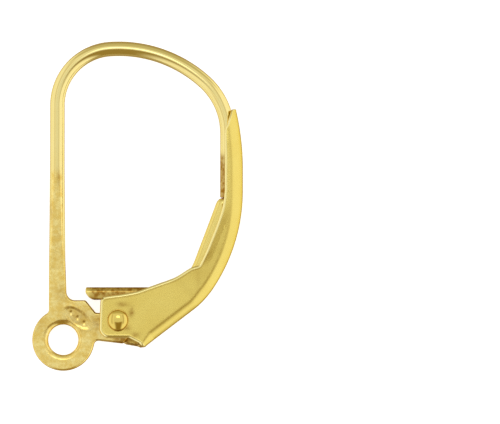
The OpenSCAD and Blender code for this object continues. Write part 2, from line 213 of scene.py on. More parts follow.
# %% Hang the tent
# level, tint, from and to in x, from and to in y, softness of the sides in x and in y
BACK_CLOTH = (0.58, "#FFFADC", (-2, 2), (0.68, 2), 0.06, 0.12)
LEFT_STRIP = (0.74, "#FFFAF0", (-0.72, -0.50), (-0.30, 0.62), 0.06, 0.06)
RIGHT_STRIP = (0.66, "#FFFAF0", (0.32, 0.54), (-0.30, 0.62), 0.06, 0.06)
DARK_FRONT = (0.33, "#FFE08E", (-0.32, 0.28), (-1.20, -0.06), 0.14, 0.06)
PANEL = (0.90, "#F6FAFF", (-0.40, 0.28), (-0.04, 0.62), 0.06, 0.04)
LAMP = (2.60, "#F4F8FF", (-0.18, 0.04), (0.20, 0.38), 0.06, 0.06)
DIM_BELOW = (0.45, "#FFF0D0", (-0.5, 0.5), (-2, 2), 0.2, 0.06)

to_right = add(tent, "ShaderNodeMapRange", Value=towards["X"], From_Min=-0.6, From_Max=0.6)
sides = add(tent, "ShaderNodeMix", {"data_type": "RGBA"}, _0=to_right.outputs["Result"],
            _6=light(1.05, "#FAFCFF"), _7=light(1.13, "#FAFCFF")).outputs["Result"]
above = sides
for part in (BACK_CLOTH, LEFT_STRIP, RIGHT_STRIP, DARK_FRONT, PANEL, LAMP):
    above = screen(above, *part)
below = screen(sides, *DIM_BELOW)
downwards = add(tent, "ShaderNodeMapRange", Value=towards["Z"], From_Min=0.0, From_Max=-0.05)
cloth = add(tent, "ShaderNodeMix", {"data_type": "RGBA"}, _0=downwards.outputs["Result"],
            _6=above, _7=below)
glow = add(tent, "ShaderNodeBackground", Color=cloth.outputs["Result"], Strength=1.0)
add(tent, "ShaderNodeOutputWorld", Surface=glow.outputs[0])
print("tent:", len(tent.nodes), "nodes")

# %% [markdown]
# ## Floor
#
# The earring lies on a light table: a sheet of opal acrylic lit from below. It is white from any
# side and takes the shadows away, as in a catalogue picture. Its own light is a little short of
# white, and the light that it scatters from the tent makes up the rest. Reflections don't see
# it, because a glowing table would wash out each side of the metal that faces down, where the
# photograph shows the dark of the tent.

# %% Lay the light table
FLOOR_HALF = 1.5
FLOOR_Z = -0.005 * MM

floor_mesh = bpy.data.meshes.new("Floor")
floor_mesh.from_pydata([(x * FLOOR_HALF, y * FLOOR_HALF, FLOOR_Z)
                        for x, y in ((-1, -1), (1, -1), (1, 1), (-1, 1))], [], [(0, 1, 2, 3)])
floor = bpy.data.objects.new("Floor", floor_mesh)
bpy.context.scene.collection.objects.link(floor)
acrylic = bpy.data.materials.new("Opal_acrylic_light_table")
acrylic.use_nodes = True
opal = acrylic.node_tree.nodes["Principled BSDF"].inputs
opal["Base Color"].default_value = linear("#CFCFCD")
opal["Roughness"].default_value = 0.9
opal["Specular IOR Level"].default_value = 0.0
opal["Emission Color"].default_value = linear("#FFFFFF")
opal["Emission Strength"].default_value = 0.80
floor_mesh.materials.append(acrylic)
floor.visible_glossy = False
floor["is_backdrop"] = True

# the plain view: a colour comes out as it was worked out, with no film curve over it
bpy.context.scene.view_settings.view_transform = "Standard"
bpy.context.scene.view_settings.look = "None"

# %% [markdown]
# ## Paths and tables
#
# Wire and sheet follow paths made of straights and arcs, as a bending jig makes them, so a path
# is a short list of lengths and turns.

# %% Follow a path
def along_path(start, rows, s):
    """x, y and heading (radians) at the distances s along a path. start is x, y and degrees. A
    row is a length and its turn in degrees. With curvature k the point has moved by
    (sin(h + k d) - sin h) / k in x and by (cos h - cos(h + k d)) / k in y."""
    s = np.asarray(s, float)
    x, y, h = start[0], start[1], math.radians(start[2])
    out = np.zeros(s.shape + (3,))
    done = 0.0
    for i, (length, turn) in enumerate(rows):
        k = math.radians(turn) / length
        d = s - done
        if turn:
            point = (x + (np.sin(h + k * d) - math.sin(h)) / k,
                     y + (math.cos(h) - np.cos(h + k * d)) / k, h + k * d)
        else:
            point = (x + d * math.cos(h), y + d * math.sin(h), np.full(s.shape, h))
        here = s >= done if i else np.full(s.shape, True)
        out[here] = np.stack(point, -1)[here]
        if turn:
            x += (math.sin(h + k * length) - math.sin(h)) / k
            y += (math.cos(h) - math.cos(h + k * length)) / k
        else:
            x += length * math.cos(h)
            y += length * math.sin(h)
        h += k * length
        done += length
    return out


def to_left(p, d):
    """The points at distance d to the left of points with a heading."""
    return np.stack([p[..., 0] - d * np.sin(p[..., 2]), p[..., 1] + d * np.cos(p[..., 2])], -1)


# %% [markdown]
# Where a section changes along the way, a few listed rows say how, and a smooth curve runs
# through them. An ordinary spline overshoots beside a sudden change, and polished metal shows
# every such bump, so this curve stays between its rows.

# %% Smooth a table
def through(x, xs, ys):
    """A smooth curve through table rows: a cubic between each two, whose slope at a row is the
    harmonic mean of the slopes on its two sides, or level at a peak, so it never overshoots."""
    xs, ys = np.asarray(xs, float), np.asarray(ys, float)
    slope = np.diff(ys) / np.diff(xs)
    product = slope[:-1] * slope[1:]
    total = np.where(product > 0, slope[:-1] + slope[1:], 1.0)
    middle = np.where(product > 0, 2 * product / total, 0.0)
    m = np.concatenate([slope[:1], middle, slope[-1:]])
    x = np.clip(x, xs[0], xs[-1])
    k = np.clip(np.searchsorted(xs, x, side="right") - 1, 0, len(xs) - 2)
    h = xs[k + 1] - xs[k]
    t = (x - xs[k]) / h
    return ((1 + 2 * t) * (1 - t) ** 2 * ys[k] + t * (1 - t) ** 2 * h * m[k]
            + t * t * (3 - 2 * t) * ys[k + 1] + t * t * (t - 1) * h * m[k + 1])


def smoothstep(x, low, high):
    """0 below low, 1 above high, and 3t^2 - 2t^3 between."""
    t = np.clip((x - low) / (high - low), 0, 1)
    return t * t * (3 - 2 * t)


# %% [markdown]
# ## From a grid of points to a piece
#
# A surface here is a grid of points: one parameter runs along the piece, the other round it. A
# face joins each point to its neighbours. Points that lie on one spot, as at a pole or a seam,
# are merged, an end that is still open is filled, and all faces are turned outwards. The piece
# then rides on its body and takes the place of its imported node.

# %% Make a mesh from grids
MERGE = 0.0001 * MM


def grid_faces(rows, cols, first=0, wrap=False):
    """The four corners of each cell of a grid that is stored row by row."""
    i, j = np.meshgrid(np.arange(rows - 1), np.arange(cols if wrap else cols - 1), indexing="ij")
    k = (j + 1) % cols
    cell = np.stack([i * cols + j, i * cols + k, (i + 1) * cols + k, (i + 1) * cols + j], -1)
    return cell.reshape(-1, 4) + first


def new_piece(name, points, faces, body, node, worn=None):
    """A closed, smooth mesh from drawing points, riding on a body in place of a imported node.
    worn: how polished each point is by wear, from 0 to 1."""
    mesh = bpy.data.meshes.new(name)
    mesh.from_pydata(place(points), [], faces.tolist())
    if worn is not None:
        layer = mesh.attributes.new("worn", "FLOAT", "POINT")
        layer.data.foreach_set("value", worn.astype(np.float32))
    work = bmesh.new()
    work.from_mesh(mesh)
    bmesh.ops.remove_doubles(work, verts=work.verts, dist=MERGE)
    bmesh.ops.holes_fill(work, edges=work.edges)
    bmesh.ops.recalc_face_normals(work, faces=work.faces)
    volume = work.calc_volume(signed=True)
    open_edges = sum(not e.is_manifold for e in work.edges)
    work.to_mesh(mesh)
    work.free()
    mesh.shade_smooth()
    piece = bpy.data.objects.new(name, mesh)
    bpy.context.scene.collection.objects.link(piece)
    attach(piece, body)
    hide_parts(node)
    print("%s: %d faces, %.2f mm3, %d open edges"
          % (name, len(mesh.polygons), volume / MM ** 3, open_edges))
    return piece


# %% [markdown]
# A finish needs to know where it is: on a struck part, on a worn edge, where a finger never
# reaches and the metal has browned, or where brown paints the shade between parts. Each piece
# keeps such a mark as a number at every vertex, worked out in the drawing's own millimetres. A
# mark that a piece doesn't have reads as 0.

# %% Read a piece in the drawing, and mark it
def in_drawing(piece):
    """The piece's vertices in drawing millimetres: place() backwards."""
    co = np.empty(len(piece.data.vertices) * 3)
    piece.data.vertices.foreach_get("co", co)
    return (co.reshape(-1, 3) / MM - ring_at) @ DRAWING.T + RING


def mark(piece, name, values):
    """Stores one number from 0 to 1 at each vertex."""
    layer = piece.data.attributes.new(name, "FLOAT", "POINT")
    layer.data.foreach_set("value", np.clip(values, 0, 1).astype(np.float32))


def spots(q, *rows):
    """The sum of soft spots. A row is a strength, the centre's x and y and the size in x and y,
    and each spot is its strength times exp(-(dx / size x)^2 - (dy / size y)^2)."""
    strength, x, y, wide, high = np.array(rows).T[:, :, None]
    away = ((q[:, 0] - x) / wide) ** 2 + ((q[:, 1] - y) / high) ** 2
    return np.sum(strength * np.exp(-away), 0)


# %% [markdown]
# ## The wire
#
# The hoop is one length of drawn wire 0.75 mm thick. It is bent over the crown in three arcs that
# run into each other. Where two arcs meet, their centres and the meeting point lie on one line,
# and that fixes the angle of each arc.

# %% Bend the wire
WIRE_R = 0.375
HOOP_W = 8.79
CROWN = np.array([3.16, 8.38])
CROWN_R, BACK_R, FRONT_R = 6.64, 2.90, 3.60
FRONT_END_H = 7.328
FLAT_TOP_H, FLAT_END_H = 9.04, 3.65
LEG_OVERLAP = 0.5

back_x, front_x = BACK_R, HOOP_W - FRONT_R
back_y = CROWN[1] + math.sqrt((CROWN_R - BACK_R) ** 2 - (CROWN[0] - back_x) ** 2)
front_y = CROWN[1] + math.sqrt((CROWN_R - FRONT_R) ** 2 - (front_x - CROWN[0]) ** 2)
back_turn = math.atan2(back_y - CROWN[1], back_x - CROWN[0])
front_turn = math.atan2(front_y - CROWN[1], front_x - CROWN[0])
leg_len = back_y - FLAT_END_H + LEG_OVERLAP
wire_rows = [
    (front_y - FRONT_END_H, 0),
    (FRONT_R * front_turn, math.degrees(front_turn)),
    (CROWN_R * (back_turn - front_turn), math.degrees(back_turn - front_turn)),
    (BACK_R * (math.pi - back_turn), math.degrees(math.pi - back_turn)),
    (leg_len, 0)]
wire_len = sum(length for length, _ in wire_rows)
print("wire: %.1f mm from its front end to the full flat" % (wire_len - LEG_OVERLAP))

# %% [markdown]
# The back leg was struck between flat dies. The struck part shows as a long flat lens that widens
# until it takes the whole leg. So the surface is a circle carried along the path, whose crests
# are cut off at the thickness that the die left. A soft minimum does the cutting, because a die
# never leaves a razor-sharp edge. At the plate, the leg takes over the plate's own worn edge.

# %% Two shapes for an edge
EDGE_REACH, EDGE_POWER = 0.09, 2.4


def edge_height(d, half_t):
    """Height of a worn edge at distance d from the outline: a quarter of a superellipse, which
    starts upright at the outline and is level at the edge's reach."""
    fall = np.clip(1 - d / EDGE_REACH, 0, 1)
    return half_t * (1 - fall ** EDGE_POWER) ** (1 / EDGE_POWER)


def soft_min(a, b, k):
    """The smaller of two values, with the corner between them rounded over about k."""
    return 0.5 * (a + b - np.sqrt((a - b) ** 2 + k * k))


# %% [markdown]
# The rows run from the front end over the crown and down the leg. A few short steps round the
# front end off, and the last half millimetre shrinks a little and so hides inside the plate.

# %% Strike the leg
AROUND, ALONG = 72, 460
END_STEPS, END_SWELL = (0, 0, 0.012, 0.04), (0, 0.86, 0.96, 1)
PLATE_T, LEG_W = 0.55, 0.84
PLATE_TOP_H, PLATE_LIKE_H = 4.05, 5.4
DIE_CORNER, DIE_SOFTER, DIE_START = 0.004, 0.026, 0.06
SINK, SINK_H = 0.04, (FLAT_END_H - 0.3, FLAT_END_H - 0.02)

s = np.concatenate([END_STEPS, np.linspace(0.1, wire_len - 0.02, ALONG), [wire_len] * 2])
swell = np.ones((len(s), 1))
swell[:4, 0] = END_SWELL
swell[-1] = 0
p = along_path((HOOP_W, FRONT_END_H, 90), wire_rows, s)
high_up = p[:, 1:2]
on_leg = (s > wire_len - leg_len)[:, None]
struck = np.clip((FLAT_TOP_H - high_up) / (FLAT_TOP_H - FLAT_END_H), 0, 1) * on_leg
half_w = WIRE_R + (LEG_W / 2 - WIRE_R) * struck
half_t = WIRE_R + (PLATE_T / 2 - WIRE_R) * struck

angle = np.linspace(0, 2 * math.pi, AROUND, endpoint=False)[None]
side = half_w * np.cos(angle)
crest = WIRE_R * np.abs(np.sin(angle))
cut = soft_min(crest, half_t, DIE_CORNER + DIE_SOFTER * struck)
height = crest + (cut - crest) * smoothstep(struck, 0, DIE_START)
plate_like = edge_height(half_w - np.abs(side), half_t)
height += (plate_like - height) * (1 - smoothstep(high_up, PLATE_TOP_H, PLATE_LIKE_H)) * on_leg
swell = swell * (1 - SINK * (1 - smoothstep(high_up, *SINK_H)) * on_leg)
wire_xy = to_left(p[:, None].repeat(AROUND, 1), side * swell)
wire_z = height * np.sign(np.sin(angle)) * swell
wire_points = np.concatenate([wire_xy, wire_z[..., None]], -1)
wire = new_piece("hoop_wire", wire_points.reshape(-1, 3),
                 grid_faces(len(s), AROUND, wrap=True), "wire", "ear_wire")

# %% [markdown]
# The die stained the flat that it struck, and brown has gathered on it in a few spots. All along
# the stretch that the lever covers, brown is painted shade cast by the lever.

# %% Mark the wire
q = in_drawing(wire)
down_the_leg = (q[:, 0] < 1) * (1 - smoothstep(q[:, 1], 8.4, 9.0))
mark(wire, "struck", down_the_leg * smoothstep(np.abs(q[:, 2]), 0.20, 0.27))
# painted shade: brown on the wire where the lever covers it
painted_shade_under_lever = (q[:, 0] > 8) * (1 - smoothstep(q[:, 1], 9.2, 9.8))
mark(wire, "brown", painted_shade_under_lever + spots(
    q, (0.5, 0.10, 8.3, 0.10, 0.45), (0.45, -0.3, 6.6, 0.10, 0.6), (0.12, 0.1, 5.1, 0.3, 0.8)))

# %% [markdown]
# ## The plate
#
# The foot of the leg is struck into a flat plate: a shoulder, a ring with a hole for a drop, and
# a neck that carries the hinge. It has a hole, so a single patch can't cover it. The grid here
# runs round the outline, and from the outline inwards to the hole. Where there is no hole to
# reach, along the leg and the neck, it runs in to a line down the middle and meets itself there.
#
# The outline's corners are rounded first, by putting an arc into each.

# %% Draw an outline with rounded corners
def rounded(rows, arc=10):
    """A polyline whose rows are x, y and corner radius. The arc's centre lies on the corner's
    bisector at radius / sin(half the angle), and the arc turns by what is left of 180 degrees."""
    rows = [np.array(r, float) for r in rows]
    out = []
    for i, row in enumerate(rows):
        if row[2] == 0 or i in (0, len(rows) - 1):
            out.append(row[:2][None])
            continue
        u = rows[i - 1][:2] - row[:2]
        v = rows[i + 1][:2] - row[:2]
        u, v = u / np.linalg.norm(u), v / np.linalg.norm(v)
        half_angle = math.acos(u @ v) / 2
        bisector = (u + v) / np.linalg.norm(u + v)
        c = row[:2] + bisector * row[2] / math.sin(half_angle)
        turn = np.sign(u[0] * v[1] - u[1] * v[0])
        start = math.atan2(-bisector[1], -bisector[0]) + turn * (math.pi / 2 - half_angle)
        a = start - turn * (math.pi - 2 * half_angle) * np.linspace(0, 1, arc)
        out.append(c + row[2] * np.stack([np.cos(a), np.sin(a)], -1))
    return np.concatenate(out)


def spaced(line, count, first=0.0, last=1.0):
    """count points at equal distances along a polyline, between two shares of its length."""
    steps = np.linalg.norm(np.diff(line, axis=0), axis=1)
    at = np.concatenate([[0], np.cumsum(steps)])
    want = np.linspace(first, last, count) * at[-1]
    return np.stack([np.interp(want, at, line[:, k]) for k in (0, 1)], -1)


def arc_of(centre, radius, start, end, count):
    """Points on an arc between two angles in degrees."""
    a = np.radians(np.linspace(start, end, count))
    return np.asarray(centre)[:2] + radius * np.stack([np.cos(a), np.sin(a)], -1)


# %% [markdown]
# The outline is drawn stretch by stretch: down the leg, round the ring, along the neck, round the
# lug that carries the hinge, over the shoulder and back up the leg. The leg and the neck leave the
# ring on its tangents.

# %% Draw the plate's outline
RING_R, HOLE_R, LUG_R = 1.60, 0.785, 1.0
LEFT_TANGENT, RIGHT_TANGENT = 125, -15
SHOULDER = (1.47, 2.04)
NECK_X, NECK_TOP, NECK_LOW = 2.0, HINGE[1] + 0.39, HINGE[1] - 1.03
HEEL = (HINGE[0] + 0.24, HINGE[1] - 1.2)
LUG_FOOT, LUG_START = (HINGE[0] + 0.6, 0.2), -53.1
RING_ARC_N, LUG_ARC_N, SHOULDER_ARC_N = 200, 90, 24

ring_c = RING[:2]
left_at = arc_of(ring_c, RING_R, LEFT_TANGENT, LEFT_TANGENT, 1)[0]
right_at = arc_of(ring_c, RING_R, RIGHT_TANGENT, RIGHT_TANGENT, 1)[0]
leg_run = (-LEG_W / 2 - left_at[0]) / math.sin(math.radians(LEFT_TANGENT))
neck_run = (NECK_LOW - right_at[1]) / math.cos(math.radians(RIGHT_TANGENT))
left_corner = (-LEG_W / 2, left_at[1] - leg_run * math.cos(math.radians(LEFT_TANGENT)), 0.22)
right_corner = (right_at[0] - neck_run * math.sin(math.radians(RIGHT_TANGENT)), NECK_LOW, 0.22)
lug_end = 180 - math.degrees(math.asin((NECK_TOP - HINGE[1]) / LUG_R))

leg_left = rounded([(-LEG_W / 2, PLATE_TOP_H, 0), left_corner, (*left_at, 0)])
ring_arc = arc_of(ring_c, RING_R, LEFT_TANGENT, 360 + RIGHT_TANGENT, RING_ARC_N)
neck_low = rounded([(*right_at, 0), right_corner, (*HEEL, 0.16), (*LUG_FOOT, 0)])
lug_arc = arc_of(HINGE, LUG_R, LUG_START, lug_end, LUG_ARC_N)
shoulder = rounded([(*lug_arc[-1], 0), (NECK_X, NECK_TOP, 0.13), (*SHOULDER, 0.16),
                    (LEG_W / 2 + 0.07, SHOULDER[1], 0.45), (LEG_W / 2, PLATE_TOP_H, 0)],
                   SHOULDER_ARC_N)

# %% [markdown]
# The outline and the inner line are then cut into matching stretches, and each pair gets the
# same number of points. The inner line is the hole's edge, with a line up the middle of the leg
# and one along the neck. Round the lug it stands still on one point.

# %% Match the outline to the hole
HOLE_TOP, HOLE_RIGHT = 112, -10
LEG_N, RING_N, NECK_N, LUG_N, SHOULDER_N = 80, 150, 60, 50, 130
NECK_SHARE, LEG_SHARE = 0.24, 0.62
LEG_LINE_END, LUG_MIDDLE = (0.0, 2.2), (2.9, 0.8)

hole_top = arc_of(ring_c, HOLE_R, HOLE_TOP, HOLE_TOP, 1)
hole_right = arc_of(ring_c, HOLE_R, HOLE_RIGHT, HOLE_RIGHT, 1)
leg_middle = np.concatenate([[(0, PLATE_TOP_H), LEG_LINE_END], hole_top])
neck_middle = np.concatenate([hole_right, [LUG_MIDDLE]])
# the outline turns its corner early on the neck, and the inner line hurries to stay opposite
neck_shares = through(np.linspace(0, 1, NECK_N), [0, 0.166, 1], [0, 0.35, 1])[1:, None]
outer = np.concatenate([
    spaced(leg_left, LEG_N), spaced(ring_arc, RING_N)[1:], spaced(neck_low, NECK_N)[1:],
    spaced(lug_arc, LUG_N)[1:], spaced(shoulder, NECK_N, 0, NECK_SHARE)[1:],
    spaced(shoulder, SHOULDER_N, NECK_SHARE, LEG_SHARE)[1:],
    spaced(shoulder, LEG_N, LEG_SHARE, 1)[1:]])
inner = np.concatenate([
    spaced(leg_middle, LEG_N), arc_of(ring_c, HOLE_R, HOLE_TOP, 360 + HOLE_RIGHT, RING_N)[1:],
    neck_middle[:1] + (neck_middle[1:] - neck_middle[:1]) * neck_shares,
    np.repeat(neck_middle[1:], LUG_N - 1, 0), spaced(neck_middle, NECK_N)[::-1][1:],
    arc_of(ring_c, HOLE_R, HOLE_RIGHT, HOLE_TOP, SHOULDER_N)[1:],
    spaced(leg_middle, LEG_N)[::-1][1:]])
print("outline and inner line:", len(outer), "and", len(inner), "points")

# %% [markdown]
# Beside the hole a fineness mark would be struck. Here it is a plain oval punch with three plain
# dimples: a shallow sunk oval with sloping sides, and round it a faint ridge of the metal that the
# punch pushed out. A bump texture would draw it too, but a real hollow also shows in the mesh.

# %% Shape the punched mark
PUNCH, PUNCH_SIZE, PUNCH_TURN = np.array([1.08, 1.13]), (0.77, 0.36), math.radians(-38)
PUNCH_DEPTH, PUNCH_SLOPE = 0.015, (0.84, 1.08)
RIDGE_H, RIDGE_AT, RIDGE_W = 0.004, 1.16, 0.09
DIMPLES, DIMPLE_DEPTH, DIMPLE_R, DIMPLE_FLAT = (-0.43, 0.0, 0.43), 0.015, 0.12, 0.35


def punched(xy):
    """How deep the mark lies: full inside the oval, sloping to nothing over its border, less a
    bell-shaped ridge outside it, and deeper by a round hollow at each of the three dimples."""
    cos, sin = math.cos(PUNCH_TURN), math.sin(PUNCH_TURN)
    q = (xy - PUNCH) @ np.array([[cos, -sin], [sin, cos]])
    oval = np.hypot(q[..., 0] / PUNCH_SIZE[0], q[..., 1] / PUNCH_SIZE[1])
    depth = PUNCH_DEPTH * (1 - smoothstep(oval, *PUNCH_SLOPE))
    depth = depth - RIDGE_H * np.exp(-((oval - RIDGE_AT) / RIDGE_W) ** 2)
    for x in DIMPLES:
        r = np.hypot(q[..., 0] - x, q[..., 1]) / DIMPLE_R
        depth = depth + DIMPLE_DEPTH * (1 - smoothstep(r, DIMPLE_FLAT, 1.0))
    return depth


# %% [markdown]
# From the outline the surface climbs a worn edge, crosses the flat and goes down a soft rim into
# the hole. The grid runs from the hole over the top to the outline and back underneath. Only the
# hole's wall is still open then, and a last strip of faces closes it.

# %% Strike the plate
EDGE_STEPS = np.array([0, 0.002, 0.006, 0.012, 0.02, 0.03, 0.042, 0.056, 0.072, 0.09, 0.11, 0.13])
FLAT_STEPS, FLAT_CROWD = 41, 1.1
HOLE_RIM, HOLE_LOW = 0.28, 0.10

flat_shares = np.sin(np.linspace(0, 1, FLAT_STEPS + 1)[1:] * math.pi / 2) ** FLAT_CROWD
tangent = np.gradient(outer, axis=0)
tangent /= np.linalg.norm(tangent, axis=1, keepdims=True)
inwards = np.stack([-tangent[:, 1], tangent[:, 0]], -1)
edge_xy = outer[:, None] + inwards[:, None] * EDGE_STEPS[None, :, None]
flat_xy = edge_xy[:, -1:] + (inner[:, None] - edge_xy[:, -1:]) * flat_shares[None, :, None]
xy = np.concatenate([edge_xy, flat_xy], 1)
from_edge = np.concatenate([EDGE_STEPS, np.full(FLAT_STEPS, 1.0)])[None]
from_hole = np.clip(np.hypot(*np.moveaxis(xy - ring_c, -1, 0)) - HOLE_R, 0, None)
rim_rise = np.sqrt(1 - np.clip(1 - from_hole / HOLE_RIM, 0, 1) ** 2)
z = np.minimum(edge_height(from_edge, PLATE_T / 2),
               HOLE_LOW + (PLATE_T / 2 - HOLE_LOW) * rim_rise)
top = np.concatenate([xy, (z - punched(xy))[..., None]], -1)
under = np.concatenate([xy, -z[..., None]], -1)[:, 1:]
shell = np.concatenate([top[:, ::-1], under], 1)
rows, cols = shell.shape[:2]
at_hole = np.concatenate([np.arange(LEG_N - 1, LEG_N + RING_N - 2),
                          np.arange(rows - LEG_N - SHOULDER_N + 1, rows - LEG_N)])
hole_wall = np.stack([at_hole * cols, at_hole * cols + cols - 1,
                      (at_hole + 1) * cols + cols - 1, (at_hole + 1) * cols], -1)
plate = new_piece("ring_plate", shell.reshape(-1, 3),
                  np.concatenate([grid_faces(rows, cols), hole_wall]),
                  "wire", "ear_wire")

# %% [markdown]
# The whole plate was struck. Brown lies in the mark and beside it and below the leg. Between
# the cheeks the brown is painted shade, where the cheeks cover the plate.

# %% Mark the plate
q = in_drawing(plate)
mark(plate, "struck", np.ones(len(q)))
# painted shade: brown on the plate where the cheeks cover it
painted_shade_between_cheeks = smoothstep(q[:, 0], 2.7, 3.1) * (1 - smoothstep(q[:, 1], 0.0, 0.3))
mark(plate, "brown", painted_shade_between_cheeks + spots(
    q, (0.5, *PUNCH, 0.75, 0.5), (0.5, 2.15, 0.85, 0.35, 0.6), (0.35, 0.3, 2.4, 0.4, 0.5),
    (0.25, -0.9, 0.9, 0.5, 0.5)))

# %% [markdown]
# ## Folded sheet
#
# The lever and its spring are folded from flat strip, and strip has the same thickness
# everywhere. So both are drawn as the middle of the sheet, a surface with no thickness, and the
# two faces are then half a thickness away on either side of it. One half of a section comes
# first: along the flat back, round the corner and down one side to the rim.

# %% Bend one half of a section
BACK_N, CORNER_N = 4, 16
LEAST = 0.02


def one_side(half_w, r, depth, side_n):
    """Depth and half-width of each point from the middle of the back to the rim: along the flat
    back to half_w - r, round the corner by (r - r cos a, r sin a), then straight on to the
    depth. A shallow section stops part of the way round the corner."""
    r = np.minimum(r, half_w - LEAST)[:, None]
    half_w, depth = half_w[:, None], depth[:, None]
    end = np.arccos(1 - np.clip((depth - LEAST) / r, 0.05, 1))
    a = end * np.linspace(0, 1, CORNER_N)
    back = np.linspace(0, 1, BACK_N)[:-1] * (half_w - r)
    d = np.concatenate([0 * back, r - r * np.cos(a)], 1)
    w = np.concatenate([back, half_w - r + r * np.sin(a)], 1)
    rest = np.linspace(0, 1, side_n)[1:] * (depth - d[:, -1:])
    return (np.concatenate([d, d[:, -1:] + rest], 1),
            np.concatenate([w, w[:, -1:] + rest / np.tan(end)], 1))


# %% [markdown]
# A strip is that section carried along a path, with the other half mirrored beside it. Three
# things on the lever ask for more. The foot is cut slanting, so its first rows end on a rim that
# is drawn apart. The two cheeks are not cut alike, so the far half of those rows leans back. And
# a press has flattened the sides of the round channel, which leaves a soft crease along them.

# %% Fold a strip along a path
CREASE, CREASE_ROUND, OPENING, FLARE_SPAN = 0.47, 0.006, 0.004, 0.22


def folded(p, inward, half_w, r, depth, t, side_n, lean=None, near=None, far=None, wall=None,
           flare=None):
    """The middle of the sheet as a grid of points. p: the outer back at each row. near and far:
    rim points of the first rows, which don't lie square to the back. lean: how far the far
    corner of those rows lies behind the near one. wall: half-width at which a flattened wall
    takes over from the round back, at the depth CREASE. From there it opens by OPENING for each
    millimetre, and by flare for each millimetre of its last FLARE_SPAN before the rim."""
    half_w, depth, r = half_w - t / 2, depth - t / 2, r - t / 2
    d, w = one_side(half_w, r, depth, side_n)
    if wall is not None:
        flared = flare[:, None] * np.clip(d - depth[:, None] + FLARE_SPAN, 0, None)
        pressed = (wall - t / 2)[:, None] + OPENING * (d + t[:, None] / 2 - CREASE)
        w = soft_min(w, pressed + flared, CREASE_ROUND)
    halves = []
    for side, rim in ((1, near), (-1, far)):
        shift = np.zeros(len(p)) if lean is None or side > 0 else lean
        slide = shift[:, None] * np.clip(d / r[:, None], 0, 1)
        q = np.repeat(p[:, None], d.shape[1], 1)
        q[..., 0] -= slide * np.cos(q[..., 2])
        q[..., 1] -= slide * np.sin(q[..., 2])
        xy = to_left(q, inward * (d + t[:, None] / 2))
        if rim is not None:
            n, c = len(rim), BACK_N + CORNER_N - 2
            share = np.linspace(0, 1, side_n)[None, :, None]
            xy[:n, c:] = xy[:n, c:c + 1] + (rim[:, None] - xy[:n, c:c + 1]) * share
        halves.append(np.concatenate([xy, side * w[..., None]], -1))
    return np.concatenate([halves[0][:, ::-1], halves[1][:, 1:]], 1)


# %% [markdown]
# The cut edge is never square on a tumbled piece, so rings of points round the border join the
# two faces by a half round. Shears also push up a low lip along the cut. It stands proud of the
# face, wears first, and so is the brightest line on the whole lever.

# %% Give the sheet its thickness
TURN_BACK = -0.05
LIP_WEAR = (0.2, 0.5)


def thick_sheet(middle, half_t, edge, power, steps, lip):
    """Points, faces and wear of a sheet from its middle. The faces lie at half_t along the normal
    n, the cross product of the grid's two slopes, turned away from the plane z = 0. Round the
    border, with e pointing out of the sheet and u = cos(a)^(2/power), the edge is
    edge * u * e + (half_t * sin(a)^(2/power) + lip * sin(pi u)^2) * n."""
    rows, cols = middle.shape[:2]
    n = np.cross(np.gradient(middle, axis=0), np.gradient(middle, axis=1))
    n /= np.linalg.norm(n, axis=-1, keepdims=True)
    outwards = n[..., 2] * middle[..., 2]
    n *= np.where(outwards * np.sign(np.sum(outwards)) < TURN_BACK, -1, 1)[..., None]
    shift = half_t[:, None, None] * n
    # the border, once round
    i = np.concatenate([np.zeros(cols - 1, int), np.arange(rows - 1),
                        np.full(cols - 1, rows - 1), np.arange(rows - 1, 0, -1)])
    j = np.concatenate([np.arange(cols - 1), np.full(rows - 1, cols - 1),
                        np.arange(cols - 1, 0, -1), np.zeros(rows - 1, int)])
    rim, rim_n = middle[i, j], n[i, j]
    run = np.roll(rim, -1, 0) - np.roll(rim, 1, 0)
    e = np.cross(run, rim_n)
    e /= np.linalg.norm(e, axis=1, keepdims=True)
    e *= np.sign(np.sum(e[rows:] * (rim - middle[rows // 2, cols // 2])[rows:]))
    # the rings between the two faces
    a = np.linspace(math.pi / 2, -math.pi / 2, steps + 1)[1:-1, None, None]
    u = np.cos(a) ** (2 / power)
    high = np.sign(np.sin(a)) * (half_t[i][None, :, None] * np.abs(np.sin(a)) ** (2 / power)
                                 + lip * np.sin(math.pi * u) ** 2)
    rings = rim + edge[i][None, :, None] * u * e + high * rim_n
    points = np.concatenate([(middle + shift).reshape(-1, 3), (middle - shift).reshape(-1, 3),
                             rings.reshape(-1, 3)])
    # faces: the two sides, and from each ring to the next
    first = 2 * rows * cols
    ids = np.concatenate([(i * cols + j)[None],
                          first + np.arange((steps - 1) * len(i)).reshape(steps - 1, -1),
                          (rows * cols + i * cols + j)[None]])
    after = np.roll(ids, -1, 1)
    faces = np.concatenate([
        grid_faces(rows, cols), grid_faces(rows, cols, rows * cols),
        np.stack([ids[:-1], after[:-1], after[1:], ids[1:]], -1).reshape(-1, 4)])
    worn = np.repeat(smoothstep(u.ravel(), *LIP_WEAR), len(i))
    return points, faces, np.concatenate([np.zeros(first), worn])


# %% [markdown]
# ## The lever
#
# The lever is one piece of sheet. At its foot it is folded into a U whose two cheeks stand on
# either side of the plate. Up the elbow the cheeks run out and the U opens into a half-round
# channel, which closes over the front wire and ends in a flattened tip. The back of the fold
# follows a straight, two arcs, a straight and the slow curve of the tip.

# %% Set out the lever's back
SHEET_T, EDGE, LIP = 0.30, 0.19, 0.012
FOLD_FOOT, FOLD_LEN = (4.331, -0.5105, 37.3), 3.37007
LOW_R, LOW_TURN, HIGH_R, HIGH_TURN = 4.7, 19.3, 9.07, 33.4
LEVER_RUN, TIP_H, TIP_LEN, TIP_R = 10.2405, 8.783, 3.15, 13.5

